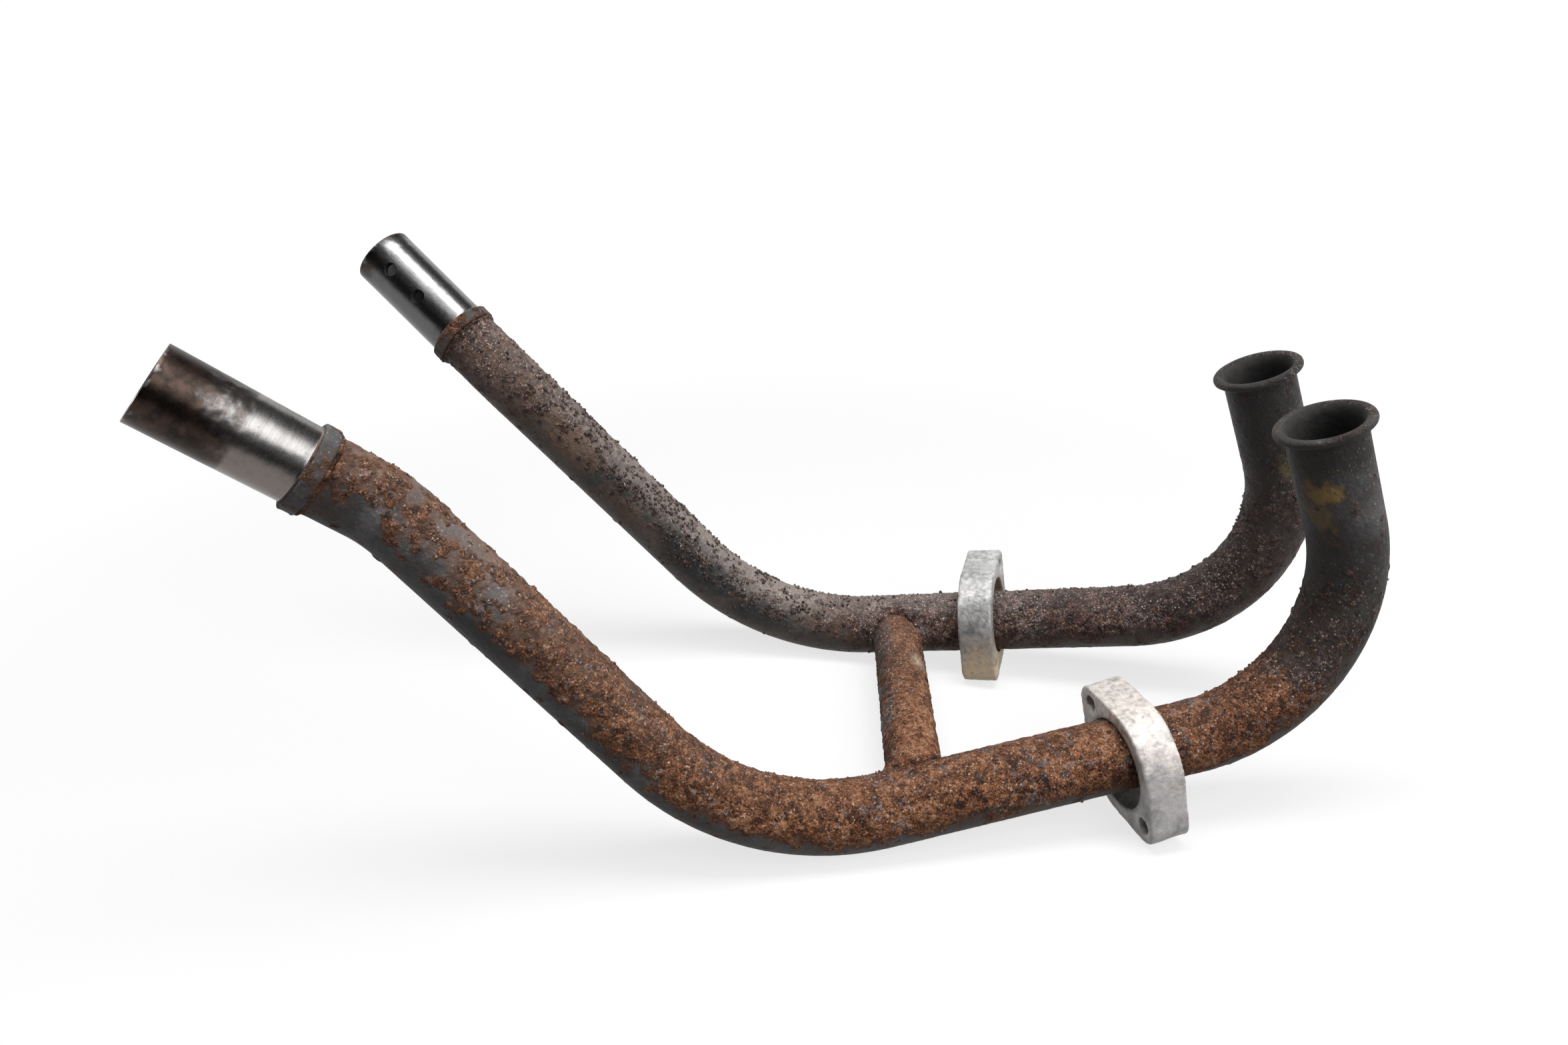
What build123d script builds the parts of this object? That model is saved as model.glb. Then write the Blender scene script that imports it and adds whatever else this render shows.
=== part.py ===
from build123d import *
import math
import os

# Twin exhaust header, in millimetres.
# The right pipe is modelled first with its long run level: X forward, Y to the rider's left, Z up.
# The left pipe is its mirror image, and the finished header is then tilted to lie as it rests.

# Header tube, bare, and the coat of paint and scale on it
tube_od = 38.1
tube_wall = 1.6
coat = 0.25

# Corners of a pipe's centreline: stub end, front and lip are measured from the belly corner,
# the shoulder from the stub end; spacings are across the pair
stub_back = 201.0
stub_rise = 292.0
stub_spacing = 273.6
shoulder_ahead = 67.5
shoulder_drop = 82.6
shoulder_inset = 30.8
belly_spacing = 225.6
front_reach = 348.0
port_spacing = 91.0
lip_set_back = 35.0
lip_rise = 164.0

# Centreline radii of the three bends
shoulder_bend = 69.0
belly_bend = 131.0
front_bend = 88.0

# Turned-out lip at the port end
lip_overhang = 4.8
lip_thickness = 4.0
lip_round = 1.5
lip_neck = 1.2
mouth_flare = 2.2
mouth_depth = 6.0

# Bare stub for the muffler, with two holes through its inboard wall, and its collar
stub_length = 68.7
stub_coat_edge = 0.8
stub_hole_d = 8.5
stub_hole_first = 17.5
stub_hole_pitch = 24.0
stub_hole_angle = 33.0
collar_width = 7.5
collar_height = 2.3
collar_round = 0.8
collar_weld_leg = 1.8

# Crossover tube between the two runs
crossover_od = 31.0
crossover_wall = 1.6
crossover_distance = 90.0
crossover_weld_leg = 3.0
crossover_weld_round = 2.0

# Loose cast flange on each pipe
flange_disc_od = 66.5
flange_bore = 49.4
flange_thickness = 22.0
flange_round = 1.2
bolt_pitch = 69.0
bolt_hole_d = 8.8
lug_radius = 10.0
spot_face_d = 13.0
spot_face_depth = 0.6

# Where the flanges lie: distance along the run from the belly corner, turn of the upper lug inboard
right_flange_distance = 212.0
right_flange_angle = 48.5
left_flange_distance = 151.5
left_flange_angle = -44.5
flange_lean_angle = 5.0

# Clearances: the seam between welded pieces, and the gap where a loose flange bears on its pipe
seam = 0.05
bearing_gap = 0.3

# Slope of the runs when the header lies on its bellies and flanges
rest_tilt_angle = 8.2

tube_r = tube_od / 2
pipe_r = tube_r + coat
bore_r = tube_r - tube_wall
crossover_r = crossover_od / 2
crossover_bore_r = crossover_r - crossover_wall
FROM_BASE = (Align.CENTER, Align.CENTER, Align.MIN)
FROM_TOP = (Align.CENTER, Align.CENTER, Align.MAX)


def corner(x, spacing, z):
    """Point of the right pipe's centreline, half a spacing to the right of the middle."""
    return Vector(x, -spacing / 2, z)


stub_end = corner(-stub_back, stub_spacing, stub_rise)
shoulder = stub_end + Vector(shoulder_ahead, shoulder_inset, -shoulder_drop)
belly = corner(0, belly_spacing, 0)
front = corner(front_reach, port_spacing, 0)
lip = corner(front_reach - lip_set_back, port_spacing, lip_rise)

centreline = FilletPolyline(
    stub_end, shoulder, belly, front, lip, radius=(shoulder_bend, belly_bend, front_bend)
)
up = Vector(0, 0, 1)
stub_dir = (shoulder - stub_end).normalized()
run_dir = (front - belly).normalized()
lip_dir = (lip - front).normalized()
run_length = (front - belly).length
crossover_half = belly_spacing / 2 - (belly_spacing - port_spacing) / 2 * crossover_distance / front_reach


def bar_along_pipe(radius):
    """Solid round bar that follows the pipe's centreline."""
    section = Plane(origin=stub_end, z_dir=stub_dir) * Circle(radius)
    return sweep(section, path=centreline)


def bar_along_run(radius):
    """Solid round bar on the axis of the straight run."""
    return Plane(origin=belly, z_dir=run_dir) * Cylinder(radius, run_length, align=FROM_BASE)


def bar_across(radius):
    """Solid round bar from the right run's axis across to the left run's axis."""
    start = Plane(origin=(crossover_distance, -crossover_half, 0), z_dir=(0, 1, 0))
    return start * Cylinder(radius, 2 * crossover_half, align=FROM_BASE)


def ring(inner_r, outer_r, width):
    """Flat-ended ring on Z, from Z = 0 upwards."""
    return Cylinder(outer_r, width, align=FROM_BASE) - Cylinder(inner_r, width, align=FROM_BASE)


def lip_ring():
    """Turned-out rim with rounded edges and a short neck under it; its top face is at Z = 0."""
    rim = Cylinder(pipe_r + lip_overhang, lip_thickness, align=FROM_TOP)
    rim = fillet(rim.edges().filter_by(GeomType.CIRCLE), lip_round)
    neck = Cone(pipe_r, pipe_r + lip_neck, lip_neck, align=FROM_TOP)
    return rim + Pos(0, 0, -lip_thickness) * neck


def mouth_cut():
    """Trumpet that opens the bore out to the lip along a circular arc."""
    arc_r = (mouth_depth**2 + mouth_flare**2) / (2 * mouth_flare)
    mid_angle = math.asin(mouth_depth / arc_r) / 2
    mid = (bore_r + arc_r * (1 - math.cos(mid_angle)), -mouth_depth + arc_r * math.sin(mid_angle))
    start = (bore_r, -mouth_depth)
    end = (bore_r + mouth_flare, 0)
    outline = Curve() + [
        ThreePointArc(start, mid, end),
        Polyline(end, (0, 0), (0, -mouth_depth), start),
    ]
    return revolve(Plane.XZ * make_face(outline), Axis.Z)


def stub_hole_cuts():
    """Two drills in line along the stub, turned up from the level inboard direction."""
    inboard = up.cross(stub_dir).normalized()
    direction = inboard.rotate(Axis((0, 0, 0), stub_dir), stub_hole_angle)
    cuts = []
    for place in (stub_hole_first, stub_hole_first + stub_hole_pitch):
        start = Plane(origin=stub_end + stub_dir * place, z_dir=direction)
        cuts.append(start * Cylinder(stub_hole_d / 2, tube_od, align=FROM_BASE))
    return cuts


def stub_coat():
    """Coat left off the bare stub, up to an edge just short of the collar."""
    return Plane(origin=stub_end, z_dir=stub_dir) * ring(tube_r, tube_od, stub_length - stub_coat_edge)


def header_pipe():
    """Bent tube with its lip, the bare stub, the opening under the crossover and the stub's holes."""
    lip_plane = Plane(origin=lip, z_dir=lip_dir)
    pipe = bar_along_pipe(pipe_r) + lip_plane * lip_ring() - stub_coat()
    pipe = pipe - bar_along_pipe(bore_r) - lip_plane * mouth_cut()
    opening = Plane(origin=(crossover_distance, -crossover_half, 0), z_dir=(0, 1, 0))
    pipe = pipe - opening * Cylinder(crossover_bore_r, tube_od, align=FROM_BASE)
    return pipe - stub_hole_cuts()


def muffler_collar():
    """Ring round the tube where the bare stub begins."""
    collar = ring(pipe_r + seam, pipe_r + collar_height, collar_width)
    rims = collar.edges().filter_by(GeomType.CIRCLE).sort_by(SortBy.RADIUS)[-2:]
    return Plane(origin=stub_end + stub_dir * stub_length, z_dir=stub_dir) * fillet(rims, collar_round)


def collar_weld():
    """Fillet bead in the corner between the collar and the pipe."""
    leg = collar_weld_leg
    bead = Cone(pipe_r + leg, pipe_r + seam, leg, align=FROM_BASE)
    bead = bead - Cylinder(pipe_r + seam, leg, align=FROM_BASE)
    start = stub_length + collar_width + seam
    return Plane(origin=stub_end + stub_dir * start, z_dir=stub_dir) * bead


def crossover_tube():
    """Straight tube, coped at both ends to the runs."""
    tube = bar_across(crossover_r) - bar_across(crossover_bore_r)
    right_run = bar_along_run(pipe_r + seam)
    return tube - right_run - mirror(right_run, about=Plane.XZ)


def crossover_weld():
    """Saddle-shaped bead round the joint of the crossover and the right run."""
    leg = crossover_weld_leg
    sleeve = bar_across(crossover_r + leg) - bar_across(crossover_r + seam)
    jacket = bar_along_run(pipe_r + leg) - bar_along_run(pipe_r + seam)
    bead = sleeve & jacket
    # The longest saddle curve is the toe on the pipe, and the next is the bead's outer corner
    saddles = bead.edges().filter_by(GeomType.BSPLINE).sort_by(SortBy.LENGTH)
    return fillet(saddles[-2], crossover_weld_round)


def port_flange():
    """Two-lug flange on Z, lugs along X: the hull of a disc and two lugs, bored and drilled."""
    rounds = [Circle(flange_disc_od / 2)]
    rounds += [Pos(side * bolt_pitch / 2, 0) * Circle(lug_radius) for side in (-1, 1)]
    outline = make_hull([disc.edge() for disc in rounds])
    flange = extrude(outline, flange_thickness / 2, both=True)
    face_edges = flange.faces().filter_by(Axis.Z).edges()
    flange = fillet(face_edges, flange_round) - Cylinder(flange_bore / 2, flange_thickness)
    for side in (-1, 1):
        hole = Cylinder(bolt_hole_d / 2, flange_thickness)
        for end in (-1, 1):
            seat_at = end * (flange_thickness - spot_face_depth) / 2
            hole += Pos(0, 0, seat_at) * Cylinder(spot_face_d / 2, spot_face_depth)
        flange -= Pos(side * bolt_pitch / 2, 0, 0) * hole
    return flange


def flange_on_run(at, lift_sign, turn):
    """The flange on the right run, bearing on the tube from above or from below."""
    slack = flange_bore / 2 - pipe_r - bearing_gap
    axis = run_dir.rotate(Axis.Z, flange_lean_angle)
    inboard = up.cross(axis).normalized()
    lug_dir = up * math.cos(math.radians(turn)) + inboard * math.sin(math.radians(turn))
    centre = belly + run_dir * at + up * (lift_sign * slack)
    return Plane(origin=centre, x_dir=lug_dir, z_dir=axis) * port_flange()


def left(shape):
    """Mirror image of a right-hand piece."""
    return mirror(shape, about=Plane.XZ)


nodes = {"crossover_tube": crossover_tube()}
for name, piece in (
    ("header_pipe", header_pipe()),
    ("muffler_collar", muffler_collar()),
    ("collar_weld", collar_weld()),
    ("crossover_weld", crossover_weld()),
):
    nodes["right_" + name] = piece
    nodes["left_" + name] = left(piece)
nodes["right_port_flange"] = flange_on_run(right_flange_distance, -1, right_flange_angle)
nodes["left_port_flange"] = left(flange_on_run(left_flange_distance, 1, left_flange_angle))

# Lay the header on the ground: tilt it, then put the middle of its footprint at the origin
resting = {name: Rot(0, -rest_tilt_angle, 0) * piece for name, piece in nodes.items()}
box = Compound(list(resting.values())).bounding_box()
to_origin = Pos(-box.center().X, -box.center().Y, -box.min.Z)

os.makedirs("parts", exist_ok=True)
for name, piece in resting.items():
    export_step(to_origin * piece, f"parts/{name}.step")
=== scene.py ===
import math

import bmesh
import bpy
import numpy as np
from mathutils import Matrix, Vector, kdtree, noise


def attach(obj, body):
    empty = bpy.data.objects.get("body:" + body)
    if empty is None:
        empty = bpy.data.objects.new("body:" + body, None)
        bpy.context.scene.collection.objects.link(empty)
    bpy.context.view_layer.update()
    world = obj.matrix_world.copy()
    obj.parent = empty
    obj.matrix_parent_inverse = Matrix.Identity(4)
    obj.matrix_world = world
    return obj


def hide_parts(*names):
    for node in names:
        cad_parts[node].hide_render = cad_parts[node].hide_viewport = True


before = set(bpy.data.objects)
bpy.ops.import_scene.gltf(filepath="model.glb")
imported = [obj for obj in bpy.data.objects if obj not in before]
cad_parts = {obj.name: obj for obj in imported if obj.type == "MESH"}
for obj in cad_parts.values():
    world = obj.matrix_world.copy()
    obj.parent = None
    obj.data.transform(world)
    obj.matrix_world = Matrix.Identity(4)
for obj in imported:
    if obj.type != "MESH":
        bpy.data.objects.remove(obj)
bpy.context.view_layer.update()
mm = 0.001
print("frame loaded:", len(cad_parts), "nodes")


# Node helpers

def addNode(tree, kind, sockets=None, **settings):
    made = tree.nodes.new(kind)
    for key, value in settings.items():
        setattr(made, key, value)
    for key, value in (sockets or {}).items():
        if isinstance(value, bpy.types.NodeSocket):
            tree.links.new(value, made.inputs[key])
        else:
            made.inputs[key].default_value = value
    return made


def newMaterial(name):
    material = bpy.data.materials.new(name)
    material.use_nodes = True
    tree = material.node_tree
    return material, tree, tree.nodes["Principled BSDF"]


def mixColor(tree, factor, first, second):
    return addNode(tree, "ShaderNodeMix", {0: factor, 6: first, 7: second}, data_type="RGBA").outputs[2]


def mixValue(tree, factor, first, second):
    return addNode(tree, "ShaderNodeMix", {0: factor, 2: first, 3: second}).outputs[0]


def calc(tree, operation, first, second=0.0, clamp=False):
    made = addNode(tree, "ShaderNodeMath", {0: first, 1: second}, operation=operation, use_clamp=clamp)
    return made.outputs[0]


def times(tree, first, second, clamp=False):
    return calc(tree, "MULTIPLY", first, second, clamp)


def plus(tree, first, second):
    return calc(tree, "ADD", first, second)


def aroundMiddle(tree, value, weight):
    return times(tree, calc(tree, "SUBTRACT", value, 0.5), weight)


def fade(tree, value, low, high, toLow=0.0, toHigh=1.0):
    sockets = {"Value": value, "From Min": low, "From Max": high, "To Min": toLow, "To Max": toHigh}
    return addNode(tree, "ShaderNodeMapRange", sockets, interpolation_type="SMOOTHSTEP").outputs[0]


def ramp(tree, value, stops):
    made = addNode(tree, "ShaderNodeValToRGB", {0: value})
    bar = made.color_ramp.elements
    while len(bar) < len(stops):
        bar.new(0.5)
    for stop, (place, color) in zip(bar, stops):
        stop.position = place
        stop.color = (*color, 1.0)
    return made.outputs[0]


def spot(tree, name):
    return addNode(tree, "ShaderNodeAttribute", attribute_name=name).outputs["Fac"]


def layVector(tree, scale):
    lay = addNode(tree, "ShaderNodeAttribute", attribute_name="lay").outputs["Vector"]
    return addNode(tree, "ShaderNodeMapping", {"Vector": lay, "Scale": scale}).outputs[0]


def speckle(tree, where, scale, detail=4.0, rough=0.6):
    sockets = {"Vector": where, "Scale": scale, "Detail": detail, "Roughness": rough}
    return addNode(tree, "ShaderNodeTexNoise", sockets).outputs["Fac"]


def crumbs(tree, where, scale):
    # a dome for each crumb, and two chances that stay the same all over it
    made = addNode(tree, "ShaderNodeTexVoronoi", {"Vector": where, "Scale": scale})
    chance = addNode(tree, "ShaderNodeSeparateColor", {"Color": made.outputs["Color"]})
    return fade(tree, made.outputs["Distance"], 0.05, 0.75, 1.0, 0.0), chance.outputs[0], chance.outputs[1]


def vectorMath(tree, operation, sockets):
    return addNode(tree, "ShaderNodeVectorMath", sockets, operation=operation).outputs[0]


def crooked(tree, where, scale, amount):
    wander = addNode(tree, "ShaderNodeTexNoise", {"Vector": where, "Scale": scale, "Detail": 3.0})
    shift = vectorMath(tree, "SUBTRACT", {0: wander.outputs["Color"], 1: (0.5, 0.5, 0.5)})
    shift = vectorMath(tree, "SCALE", {0: shift, "Scale": amount})
    return vectorMath(tree, "ADD", {0: where, 1: shift})


def weighted(tree, *pairs):
    total = times(tree, *pairs[0])
    for value, weight in pairs[1:]:
        total = plus(tree, total, times(tree, value, weight))
    return total


def objectPlace(tree):
    return addNode(tree, "ShaderNodeTexCoord").outputs["Object"]


def reliefInto(tree, shader, height, strength, distance):
    made = addNode(tree, "ShaderNodeBump", {"Height": height, "Strength": strength, "Distance": distance})
    tree.links.new(made.outputs[0], shader.inputs["Normal"])


# Mesh helpers

def noiseAt(points, size, octaves=3, shift=0.0):
    spread = (np.asarray(points).reshape(-1, 3) / size + shift).tolist()
    made = [noise.fractal(p, 0.7, 2.1, octaves) for p in spread]
    return np.array(made).reshape(np.asarray(points).shape[:-1])


def smoothStep(value, low, high):
    t = np.clip((value - low) / (high - low), 0.0, 1.0)
    return t * t * (3 - 2 * t)


def zone(along, pairs):
    places, values = zip(*pairs)
    return np.interp(along, places, values)


def meshPoints(mesh):
    co = np.zeros(len(mesh.vertices) * 3)
    mesh.vertices.foreach_get("co", co)
    return co.reshape(-1, 3)


def setPoints(mesh, co):
    mesh.vertices.foreach_set("co", np.asarray(co, np.float32).ravel())
    mesh.update()


def setField(mesh, name, values):
    made = mesh.attributes.new(name, "FLOAT", "POINT")
    made.data.foreach_set("value", np.asarray(values, np.float32).ravel())


def setVectors(mesh, name, values):
    made = mesh.attributes.new(name, "FLOAT_VECTOR", "POINT")
    made.data.foreach_set("vector", np.asarray(values, np.float32).ravel())


def linked(name, data):
    made = bpy.data.objects.new(name, data)
    bpy.context.scene.collection.objects.link(made)
    return made


def newPiece(name, mesh, materials, body, slotName, *nodes):
    piece = linked(name, mesh)
    for material in materials:
        mesh.materials.append(material)
    mesh.shade_smooth()
    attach(piece, body)
    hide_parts(*nodes)
    print("made", name, len(mesh.polygons), "faces")


def ringOf(made):
    ring = [g for g in made if isinstance(g, bmesh.types.BMVert)]
    known = set(ring)
    edges = [g for g in made if isinstance(g, bmesh.types.BMEdge) and set(g.verts) <= known]
    return ring + edges


def edgesOf(loop):
    return [g for g in loop if isinstance(g, bmesh.types.BMEdge)]


def growAlong(bm, loop, move, steps):
    if "turn" in move:
        made = bmesh.ops.spin(
            bm, geom=loop, cent=move["centre"], axis=move["axis"], angle=move["turn"], steps=steps
        )
    else:
        stride = move["dir"] * (move["length"] / steps)
        made = bmesh.ops.spin(
            bm, geom=loop, cent=(0, 0, 0), axis=(0, 0, 1), dvec=stride, angle=0.0, steps=steps
        )
    return ringOf(made["geom_last"])


def growProfile(bm, loop, direction, shift, factor):
    made = bmesh.ops.extrude_edge_only(bm, edges=edgesOf(loop))
    loop = ringOf(made["geom"])
    ring = [g for g in loop if isinstance(g, bmesh.types.BMVert)]
    bmesh.ops.translate(bm, vec=direction * shift, verts=ring)
    middle = sum((v.co for v in ring), Vector()) / len(ring)
    bmesh.ops.scale(bm, vec=(factor,) * 3, space=Matrix.Translation(-middle), verts=ring)
    return loop


def closeUp(bm, name):
    bmesh.ops.recalc_face_normals(bm, faces=bm.faces)
    mesh = bpy.data.meshes.new(name)
    bm.to_mesh(mesh)
    bm.free()
    return mesh


# Materials

rustTones = {
    "near": [
        (0.10, (0.010, 0.005, 0.003)), (0.30, (0.055, 0.020, 0.010)), (0.46, (0.170, 0.064, 0.028)),
        (0.60, (0.310, 0.120, 0.052)), (0.76, (0.430, 0.190, 0.090)), (0.92, (0.560, 0.330, 0.200)),
    ],
    "far": [
        (0.10, (0.008, 0.005, 0.005)), (0.30, (0.040, 0.018, 0.014)), (0.46, (0.125, 0.058, 0.044)),
        (0.60, (0.240, 0.130, 0.100)), (0.76, (0.360, 0.240, 0.200)), (0.92, (0.520, 0.410, 0.360)),
    ],
    "dull": [
        (0.10, (0.010, 0.008, 0.008)), (0.30, (0.036, 0.024, 0.023)), (0.46, (0.085, 0.056, 0.052)),
        (0.60, (0.160, 0.108, 0.100)), (0.76, (0.260, 0.190, 0.180)), (0.92, (0.420, 0.350, 0.335)),
    ],
}


def coatMaterial(name, look):
    material, tree, shader = newMaterial(name)
    where = objectPlace(tree)
    fine = fade(tree, speckle(tree, where, 950, 5, 0.7), 0.32, 0.68)
    mid = fade(tree, speckle(tree, where, 260, 5, 0.65), 0.32, 0.68)
    broad = fade(tree, speckle(tree, where, look["patches"], 5, 0.6), 0.34, 0.66)
    torn = crooked(tree, where, 700, 0.0022)
    crumb, crumbTone, crumbHue = crumbs(tree, torn, 300)
    grit, gritTone, gritHue = crumbs(tree, torn, 760)
    rust, crest = spot(tree, "rust"), spot(tree, "crest")

    # worn paint: grey where it is sound, sooty and heat-tinted towards the port
    paint = mixColor(tree, broad, look["paintDark"], look["paintLight"])
    dusty = times(tree, mid, times(tree, fine, 0.7))
    paint = mixColor(tree, dusty, paint, look["paintDust"])
    film = plus(tree, times(tree, fine, 0.30), 0.60)
    paint = mixColor(tree, times(tree, fade(tree, rust, 0.0, 0.45), film), paint, look["film"])
    # darker blue-grey patches at given places along the pipes; on the right pipe they face down and towards -Y
    paint = mixColor(tree, spot(tree, "darkPatch"), paint, look["darkPatch"])
    tanned = fade(tree, plus(tree, fine, mid), 0.2, 1.4, 0.45, 1.0)
    paint = mixColor(tree, times(tree, spot(tree, "tan"), tanned), paint, look["tan"])
    paint = mixColor(tree, spot(tree, "soot"), paint, look["soot"])
    heat = times(tree, spot(tree, "heat"), plus(tree, broad, 0.2), True)
    paint = mixColor(tree, heat, paint, look["heat"])
    paint = mixColor(tree, spot(tree, "ochre"), paint, look["ochre"])

    # rust: crumbs of different tones, dull and purplish or fresh and orange, darker on the blisters, with
    # painted shade in a ring round each blister's foot
    warm = calc(tree, "SUBTRACT", spot(tree, "warm"), 0.5)
    core, footShade = fade(tree, crest, 0.45, 0.95), fade(tree, crest, 0.02, 0.2)
    footShade = times(tree, footShade, fade(tree, crest, 0.2, 0.5, 1.0, 0.0))
    tone = weighted(
        tree, (fine, 0.42), (mid, 0.24), (broad, 0.12), (crumbTone, 0.30), (gritTone, 0.28), (warm, 0.45),
        (core, -look["coreDark"]), (footShade, -look["footShadeDark"]),
    )
    tone = calc(tree, "SUBTRACT", tone, 0.20)
    dull = weighted(tree, (crumbHue, 0.50), (mid, 0.20), (broad, 0.30), (core, 0.25), (warm, -0.8))
    dull = fade(tree, dull, look["dullFrom"], look["dullFrom"] + 0.25)
    rustColor = mixColor(tree, dull, ramp(tree, tone, look["rust"]), ramp(tree, tone, look["dull"]))
    edge = plus(tree, rust, aroundMiddle(tree, mid, 0.22))
    edge = plus(tree, edge, aroundMiddle(tree, fine, 0.26))
    cover = fade(tree, edge, 0.12, 0.88)
    color = mixColor(tree, cover, paint, rustColor)

    # on the top side a lighter layer, partly settled dirt and partly painted sheen from the top light; pale
    # specks painted as glints, most on the upper side; and scrapes
    dustAndSheenAmount = times(tree, spot(tree, "dustAndSheen"), fade(tree, fine, 0.0, 1.0, 0.35, 0.75))
    color = mixColor(tree, dustAndSheenAmount, color, look["dustAndSheen"])
    # painted highlights: pale specks in the colour that stand in for glints, more of them on the upper side
    paintedGlint = times(tree, fade(tree, grit, 0.42, 0.72), fade(tree, gritHue, look["paintedGlintFrom"], 1.0))
    clumps = weighted(tree, (mid, 0.5), (broad, 0.5), (spot(tree, "top"), 0.6))
    paintedGlint = times(tree, paintedGlint, fade(tree, clumps, 0.45, 1.15, 0.08, 1.0))
    paintedGlint = times(tree, paintedGlint, fade(tree, cover, 0.0, 1.0, 0.35, 1.0))
    color = mixColor(tree, paintedGlint, color, look["paintedGlint"])
    pale = times(tree, spot(tree, "scrape"), fade(tree, fine, 0.1, 0.5), True)
    color = mixColor(tree, pale, color, look["scrape"])
    tree.links.new(color, shader.inputs["Base Color"])
    sheen = mixValue(tree, cover, look["paintRough"], fade(tree, dull, 0.0, 1.0, look["rustRough"], 0.50))
    tree.links.new(sheen, shader.inputs["Roughness"])
    lumps = weighted(tree, (fine, 0.40), (mid, 0.40), (crumb, 1.10), (grit, 0.35))
    rough = times(tree, lumps, fade(tree, cover, 0.0, 1.0, 0.22, 1.0))
    reliefInto(tree, shader, rough, 0.9, 0.0016)
    shader.inputs["Specular IOR Level"].default_value = 0.26
    return material


nearCoat = coatMaterial("wornCoatNear", {
    "paintDark": (0.036, 0.038, 0.041, 1), "paintLight": (0.135, 0.138, 0.147, 1), "patches": 48,
    "paintDust": (0.150, 0.118, 0.102, 1), "film": (0.170, 0.092, 0.060, 1), "soot": (0.014, 0.013, 0.012, 1),
    "dustAndSheen": (0.380, 0.250, 0.190, 1), "darkPatch": (0.022, 0.023, 0.024, 1), "tan": (0.190, 0.100, 0.062, 1),
    "heat": (0.036, 0.042, 0.036, 1), "ochre": (0.330, 0.220, 0.085, 1),
    "rust": rustTones["near"], "dull": rustTones["dull"], "dullFrom": 0.55, "coreDark": 0.08, "footShadeDark": 0.05,
    "paintedGlint": (0.78, 0.58, 0.46, 1), "paintedGlintFrom": 0.66,
    "scrape": (0.80, 0.66, 0.50, 1), "paintRough": 0.62, "rustRough": 0.80,
})
farCoat = coatMaterial("wornCoatFar", {
    "paintDark": (0.034, 0.036, 0.038, 1), "paintLight": (0.125, 0.104, 0.088, 1), "patches": 26,
    "paintDust": (0.160, 0.130, 0.108, 1), "film": (0.185, 0.108, 0.070, 1), "soot": (0.013, 0.013, 0.013, 1),
    "dustAndSheen": (0.450, 0.375, 0.345, 1), "darkPatch": (0.020, 0.023, 0.026, 1), "tan": (0.215, 0.115, 0.068, 1),
    "heat": (0.050, 0.046, 0.028, 1), "ochre": (0.240, 0.190, 0.070, 1),
    "rust": rustTones["far"], "dull": rustTones["dull"], "dullFrom": 0.46, "coreDark": 0.20, "footShadeDark": 0.05,
    "paintedGlint": (0.88, 0.77, 0.69, 1), "paintedGlintFrom": 0.42,
    "scrape": (0.70, 0.60, 0.46, 1), "paintRough": 0.52, "rustRough": 0.75,
})


def steelMaterial(name, look):
    material, tree, shader = newMaterial(name)
    where = objectPlace(tree)
    streak = fade(tree, speckle(tree, layVector(tree, look["grain"]), 620, 4, 0.6), 0.3, 0.7)
    blot = fade(tree, speckle(tree, where, 150, 5, 0.65), 0.3, 0.7)
    fine = speckle(tree, where, 1000, 4, 0.65)
    oxide = spot(tree, "oxide")
    stain = plus(tree, oxide, aroundMiddle(tree, blot, 0.3))
    stain = fade(tree, stain, 0.1, 0.9)
    bright = mixColor(tree, times(tree, streak, look["streaks"]), look["steel"], look["steelDark"])
    pits = fade(tree, plus(tree, fine, times(tree, oxide, 0.15)), 0.64, 0.72)
    bright = mixColor(tree, times(tree, pits, look["pitting"]), bright, look["pit"])
    # dull film on the stub's lower side: partly oxide film, partly painted shade that dims the reflection there
    bright = mixColor(tree, times(tree, spot(tree, "film"), look["filmAndShade"]), bright, look["film"])
    burnt = mixColor(tree, blot, look["oxideDark"], look["oxideBrown"])
    color = mixColor(tree, stain, bright, burnt)
    color = mixColor(tree, spot(tree, "chip"), color, look["chip"])
    tree.links.new(color, shader.inputs["Base Color"])
    polish = mixValue(tree, stain, look["polish"], 0.36)
    polish = plus(tree, polish, aroundMiddle(tree, fine, 0.16))
    tree.links.new(polish, shader.inputs["Roughness"])
    shader.inputs["Metallic"].default_value = 1.0
    bump = plus(tree, times(tree, streak, 0.25), times(tree, fine, 0.5))
    reliefInto(tree, shader, bump, 0.08, 0.0005)
    return material


nearSteel = steelMaterial("bareSteelNear", {
    "steel": (0.27, 0.262, 0.258, 1), "steelDark": (0.13, 0.12, 0.115, 1), "pit": (0.05, 0.04, 0.035, 1),
    "oxideDark": (0.016, 0.014, 0.013, 1), "oxideBrown": (0.060, 0.040, 0.032, 1), "grain": (1.0, 0.08, 0.08),
    "streaks": 0.4, "chip": (0.55, 0.54, 0.52, 1), "polish": 0.27, "pitting": 0.5,
    "film": (0.165, 0.143, 0.133, 1), "filmAndShade": 0.92,
})
farSteel = steelMaterial("bareSteelFar", {
    "steel": (0.28, 0.28, 0.28, 1), "steelDark": (0.11, 0.11, 0.11, 1), "pit": (0.03, 0.03, 0.03, 1),
    "oxideDark": (0.016, 0.015, 0.015, 1), "oxideBrown": (0.045, 0.038, 0.034, 1), "grain": (0.07, 1.0, 1.0),
    "streaks": 0.6, "chip": (0.70, 0.70, 0.70, 1), "polish": 0.27, "pitting": 0.8,
    "film": (0.10, 0.10, 0.10, 1), "filmAndShade": 0.92,
})


def sootMaterial():
    material, tree, shader = newMaterial("sootyBore")
    mottle = speckle(tree, objectPlace(tree), 260, 4, 0.6)
    color = ramp(tree, mottle, [(0.3, (0.008, 0.008, 0.008)), (0.7, (0.030, 0.027, 0.025))])
    tree.links.new(color, shader.inputs["Base Color"])
    shader.inputs["Roughness"].default_value = 0.85
    reliefInto(tree, shader, mottle, 0.4, 0.001)
    return material


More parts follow.
